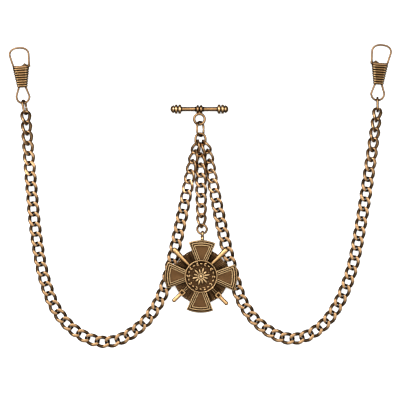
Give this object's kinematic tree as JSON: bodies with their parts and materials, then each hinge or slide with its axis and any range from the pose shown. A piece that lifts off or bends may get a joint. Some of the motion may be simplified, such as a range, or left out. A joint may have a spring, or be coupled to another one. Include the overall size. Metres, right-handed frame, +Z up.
{
  "type": "pocket watch chain",
  "caption": "Watch chain with a buttonhole T-bar, long curb chains ending in sliding-sleeve clips, and a short centre chain carrying a flared cross medal.",
  "frame": {"origin": "centre of the bounding box, on the table the chain lies on", "axes": "+X across from the left clip to the right clip, +Y from the medal towards the T-bar, +Z up from the table"},
  "size_m": [0.1758, 0.1393, 0.0058],
  "materials": {
    "aged_bronze": "antique bronze plating, worn bright on the high parts and nearly black in the recesses",
    "bright_bronze": "antique bronze plating, rubbed bright",
    "medal_bronze": "dark brown patina with bright ridges",
    "spring_wire": "drawn spring wire"
  },
  "bodies": {
    "gather_ring": {"gather_ring": "aged_bronze"},
    "oval_link": {"oval_link": "aged_bronze"},
    "t_bar": {"t_bar_shaft": "aged_bronze", "t_bar_knobs": "bright_bronze", "t_bar_eye": "aged_bronze"},
    "left_chain_01": {"left_chain_01": "aged_bronze"},
    "left_chain_02": {"left_chain_02": "aged_bronze"},
    "left_chain_03": {"left_chain_03": "aged_bronze"},
    "left_chain_04": {"left_chain_04": "aged_bronze"},
    "left_chain_05": {"left_chain_05": "aged_bronze"},
    "left_chain_06": {"left_chain_06": "aged_bronze"},
    "left_chain_07": {"left_chain_07": "aged_bronze"},
    "left_chain_08": {"left_chain_08": "aged_bronze"},
    "left_chain_09": {"left_chain_09": "aged_bronze"},
    "left_chain_10": {"left_chain_10": "aged_bronze"},
    "left_chain_11": {"left_chain_11": "aged_bronze"},
    "left_chain_12": {"left_chain_12": "aged_bronze"},
    "left_chain_13": {"left_chain_13": "aged_bronze"},
    "left_chain_14": {"left_chain_14": "aged_bronze"},
    "left_chain_15": {"left_chain_15": "aged_bronze"},
    "left_chain_16": {"left_chain_16": "aged_bronze"},
    "right_chain_01": {"right_chain_01": "aged_bronze"},
    "right_chain_02": {"right_chain_02": "aged_bronze"},
    "right_chain_03": {"right_chain_03": "aged_bronze"},
    "right_chain_04": {"right_chain_04": "aged_bronze"},
    "right_chain_05": {"right_chain_05": "aged_bronze"},
    "right_chain_06": {"right_chain_06": "aged_bronze"},
    "right_chain_07": {"right_chain_07": "aged_bronze"},
    "right_chain_08": {"right_chain_08": "aged_bronze"},
    "right_chain_09": {"right_chain_09": "aged_bronze"},
    "right_chain_10": {"right_chain_10": "aged_bronze"},
    "right_chain_11": {"right_chain_11": "aged_bronze"},
    "right_chain_12": {"right_chain_12": "aged_bronze"},
    "right_chain_13": {"right_chain_13": "aged_bronze"},
    "right_chain_14": {"right_chain_14": "aged_bronze"},
    "right_chain_15": {"right_chain_15": "aged_bronze"},
    "right_chain_16": {"right_chain_16": "aged_bronze"},
    "centre_chain_1": {"centre_chain_1": "aged_bronze"},
    "centre_chain_2": {"centre_chain_2": "aged_bronze"},
    "centre_chain_3": {"centre_chain_3": "aged_bronze"},
    "medal_ring": {"medal_ring": "aged_bronze"},
    "medal": {"medal_bail": "bright_bronze", "medal_cross": "medal_bronze", "medal_ray_plate": "medal_bronze", "medal_sword_left": "bright_bronze", "medal_sword_right": "bright_bronze", "medal_disc": "medal_bronze", "medal_rosette": "bright_bronze"},
    "left_clip_link": {"left_clip_link": "aged_bronze"},
    "left_clip_frame": {"left_clip_frame": "aged_bronze", "left_clip_spring": "spring_wire"},
    "left_clip_sleeve": {"left_clip_sleeve": "bright_bronze"},
    "right_clip_link": {"right_clip_link": "aged_bronze"},
    "right_clip_frame": {"right_clip_frame": "aged_bronze", "right_clip_spring": "spring_wire"},
    "right_clip_sleeve": {"right_clip_sleeve": "bright_bronze"}
  },
  "joints": [
    {"name": "oval_link_lift", "type": "hinge", "parent": "gather_ring", "child": "oval_link", "pos_m": [0.00042, 0.02887, 0.00235], "axis": [1, 0, 0], "range_deg": [0, 60]},
    {"name": "t_bar_lift", "type": "hinge", "parent": "oval_link", "child": "t_bar", "pos_m": [0, 0.0333, 0.00204], "axis": [1, 0, 0], "range_deg": [0, 60]},
    {"name": "medal_swing", "type": "hinge", "parent": "medal_ring", "child": "medal", "pos_m": [0.00122, -0.01687, 0.0041], "axis": [-1, 0, 0], "range_deg": [0, 90]},
    {"name": "medal_ring_swing", "type": "hinge", "parent": "centre_chain_3", "child": "medal_ring", "pos_m": [0.00122, -0.01273, 0.0026], "axis": [-1, 0, 0], "range_deg": [0, 35]},
    {"name": "left_clip_link_lift", "type": "hinge", "parent": "left_chain_16", "child": "left_clip_link", "pos_m": [-0.07979, 0.03921, 0.00235], "axis": [0.9976, 0.0698, 0], "range_deg": [0, 50]},
    {"name": "left_clip_swing", "type": "hinge", "parent": "left_clip_link", "child": "left_clip_frame", "pos_m": [-0.08074, 0.043, 0.0023], "axis": [0, 0, 1], "range_deg": [-25, 25]},
    {"name": "left_sleeve_slide", "type": "slide", "parent": "left_clip_frame", "child": "left_clip_sleeve", "axis": [0.0715, -0.9974, 0], "range_m": [0, 0.0025], "stiffness_N_per_m": 300, "springref_m": -0.002, "deforming": ["left_clip_spring"]},
    {"name": "right_clip_link_lift", "type": "hinge", "parent": "right_chain_16", "child": "right_clip_link", "pos_m": [0.08181, 0.04053, 0.00235], "axis": [0.9925, -0.1219, 0], "range_deg": [0, 50]},
    {"name": "right_clip_swing", "type": "hinge", "parent": "right_clip_link", "child": "right_clip_frame", "pos_m": [0.0816, 0.04433, 0.0023], "axis": [0, 0, 1], "range_deg": [-25, 25]},
    {"name": "right_sleeve_slide", "type": "slide", "parent": "right_clip_frame", "child": "right_clip_sleeve", "axis": [-0.0715, -0.9974, 0], "range_m": [0, 0.0025], "stiffness_N_per_m": 300, "springref_m": -0.002, "deforming": ["right_clip_spring"]},
    {"name": "centre_chain_3_lift", "type": "hinge", "parent": "centre_chain_2", "child": "centre_chain_3", "pos_m": [0.00087, -0.00393, 0.0022], "axis": [1, 0, 0], "range_deg": [-26, 0]},
    {"name": "centre_chain_2_swing", "type": "hinge", "parent": "centre_chain_1", "child": "centre_chain_2", "pos_m": [0.00074, 0.01002, 0.00213], "axis": [0, 0, 1], "range_deg": [-2, 2]},
    {"name": "centre_chain_1_swing", "type": "hinge", "parent": "gather_ring", "child": "centre_chain_1", "pos_m": [0.00055, 0.02343, 0.0025], "axis": [0, 0, 1], "range_deg": [-1, 1]},
    {"name": "left_chain_01_swing", "type": "hinge", "parent": "gather_ring", "child": "left_chain_01", "pos_m": [-0.0006, 0.02587, 0.0025], "axis": [0, 0, -1], "range_deg": [0, 18]},
    {"name": "left_chain_02_swing", "type": "hinge", "parent": "left_chain_01", "child": "left_chain_02", "pos_m": [-0.00398, 0.01165, 0.00209], "axis": [0, 0, 1], "range_deg": [-18, 1]},
    {"name": "left_chain_03_swing", "type": "hinge", "parent": "left_chain_02", "child": "left_chain_03", "pos_m": [-0.00661, -0.00205, 0.00154], "axis": [0, 0, -1], "range_deg": [-1, 14]},
    {"name": "left_chain_04_swing", "type": "hinge", "parent": "left_chain_03", "child": "left_chain_04", "pos_m": [-0.00943, -0.01572, 0.00144], "axis": [0, 0, 1], "range_deg": [-18, 1]},
    {"name": "left_chain_05_swing", "type": "hinge", "parent": "left_chain_04", "child": "left_chain_05", "pos_m": [-0.01243, -0.02934, 0.00144], "axis": [0, 0, 1], "range_deg": [-25, 25]},
    {"name": "left_chain_06_swing", "type": "hinge", "parent": "left_chain_05", "child": "left_chain_06", "pos_m": [-0.01633, -0.04272, 0.00144], "axis": [0, 0, -1], "range_deg": [-25, 25]},
    {"name": "left_chain_07_swing", "type": "hinge", "parent": "left_chain_06", "child": "left_chain_07", "pos_m": [-0.02298, -0.05491, 0.00144], "axis": [0, 0, 1], "range_deg": [-20, 25]},
    {"name": "left_chain_08_lift", "type": "hinge", "parent": "left_chain_07", "child": "left_chain_08", "pos_m": [-0.03349, -0.06388, 0.00144], "axis": [-0.472, 0.8816, 0], "range_deg": [0, 25]},
    {"name": "left_chain_09_swing", "type": "hinge", "parent": "left_chain_08", "child": "left_chain_09", "pos_m": [-0.04691, -0.06606, 0.00144], "axis": [0, 0, 1], "range_deg": [-13, 25]},
    {"name": "left_chain_10_swing", "type": "hinge", "parent": "left_chain_09", "child": "left_chain_10", "pos_m": [-0.05911, -0.05969, 0.00144], "axis": [0, 0, -1], "range_deg": [-25, 16]},
    {"name": "left_chain_11_lift", "type": "hinge", "parent": "left_chain_10", "child": "left_chain_11", "pos_m": [-0.06733, -0.04856, 0.00144], "axis": [0.9075, 0.42, 0], "range_deg": [0, 25]},
    {"name": "left_chain_12_swing", "type": "hinge", "parent": "left_chain_11", "child": "left_chain_12", "pos_m": [-0.07178, -0.03536, 0.00144], "axis": [0, 0, -1], "range_deg": [-25, 25]},
    {"name": "left_chain_13_swing", "type": "hinge", "parent": "left_chain_12", "child": "left_chain_13", "pos_m": [-0.07438, -0.02167, 0.00144], "axis": [0, 0, 1], "range_deg": [-25, 25]},
    {"name": "left_chain_14_lift", "type": "hinge", "parent": "left_chain_13", "child": "left_chain_14", "pos_m": [-0.07608, -0.00782, 0.00144], "axis": [0.9954, 0.0958, 0], "range_deg": [0, 25]},
    {"name": "left_chain_15_swing", "type": "hinge", "parent": "left_chain_14", "child": "left_chain_15", "pos_m": [-0.07729, 0.00608, 0.00164], "axis": [0, 0, 1], "range_deg": [-25, 25]},
    {"name": "left_chain_16_swing", "type": "hinge", "parent": "left_chain_15", "child": "left_chain_16", "pos_m": [-0.07839, 0.01998, 0.00202], "axis": [0, 0, -1], "range_deg": [-25, 25]},
    {"name": "right_chain_01_swing", "type": "hinge", "parent": "gather_ring", "child": "right_chain_01", "pos_m": [0.00159, 0.02582, 0.0025], "axis": [0, 0, 1], "range_deg": [0, 18]},
    {"name": "right_chain_02_swing", "type": "hinge", "parent": "right_chain_01", "child": "right_chain_02", "pos_m": [0.00529, 0.01194, 0.00209], "axis": [0, 0, -1], "range_deg": [-18, 1]},
    {"name": "right_chain_03_swing", "type": "hinge", "parent": "right_chain_02", "child": "right_chain_03", "pos_m": [0.00775, -0.00158, 0.00154], "axis": [0, 0, 1], "range_deg": [-1, 14]},
    {"name": "right_chain_04_swing", "type": "hinge", "parent": "right_chain_03", "child": "right_chain_04", "pos_m": [0.01054, -0.01503, 0.00144], "axis": [0, 0, -1], "range_deg": [-18, 1]},
    {"name": "right_chain_05_swing", "type": "hinge", "parent": "right_chain_04", "child": "right_chain_05", "pos_m": [0.01365, -0.02841, 0.00144], "axis": [0, 0, 1], "range_deg": [-25, 25]},
    {"name": "right_chain_06_swing", "type": "hinge", "parent": "right_chain_05", "child": "right_chain_06", "pos_m": [0.0173, -0.04166, 0.00144], "axis": [0, 0, -1], "range_deg": [-25, 25]},
    {"name": "right_chain_07_swing", "type": "hinge", "parent": "right_chain_06", "child": "right_chain_07", "pos_m": [0.0234, -0.05386, 0.00144], "axis": [0, 0, 1], "range_deg": [-25, 25]},
    {"name": "right_chain_08_lift", "type": "hinge", "parent": "right_chain_07", "child": "right_chain_08", "pos_m": [0.03383, -0.06261, 0.00144], "axis": [-0.4695, -0.8829, 0], "range_deg": [0, 25]},
    {"name": "right_chain_09_swing", "type": "hinge", "parent": "right_chain_08", "child": "right_chain_09", "pos_m": [0.04704, -0.06441, 0.00144], "axis": [0, 0, 1], "range_deg": [-14, 11]},
    {"name": "right_chain_10_swing", "type": "hinge", "parent": "right_chain_09", "child": "right_chain_10", "pos_m": [0.05838, -0.05707, 0.00144], "axis": [0, 0, -1], "range_deg": [-20, 25]},
    {"name": "right_chain_11_lift", "type": "hinge", "parent": "right_chain_10", "child": "right_chain_11", "pos_m": [0.06559, -0.04544, 0.00144], "axis": [0.9112, -0.412, 0], "range_deg": [0, 25]},
    {"name": "right_chain_12_swing", "type": "hinge", "parent": "right_chain_11", "child": "right_chain_12", "pos_m": [0.07015, -0.0325, 0.00144], "axis": [0, 0, -1], "range_deg": [-25, 25]},
    {"name": "right_chain_13_swing", "type": "hinge", "parent": "right_chain_12", "child": "right_chain_13", "pos_m": [0.073, -0.01906, 0.00144], "axis": [0, 0, 1], "range_deg": [-25, 25]},
    {"name": "right_chain_14_lift", "type": "hinge", "parent": "right_chain_13", "child": "right_chain_14", "pos_m": [0.07534, -0.00552, 0.00144], "axis": [0.9871, -0.1599, 0], "range_deg": [0, 25]},
    {"name": "right_chain_15_swing", "type": "hinge", "parent": "right_chain_14", "child": "right_chain_15", "pos_m": [0.07744, 0.00805, 0.00164], "axis": [0, 0, 1], "range_deg": [-25, 25]},
    {"name": "right_chain_16_swing", "type": "hinge", "parent": "right_chain_15", "child": "right_chain_16", "pos_m": [0.07938, 0.02166, 0.00202], "axis": [0, 0, -1], "range_deg": [-25, 25]}
  ]
}
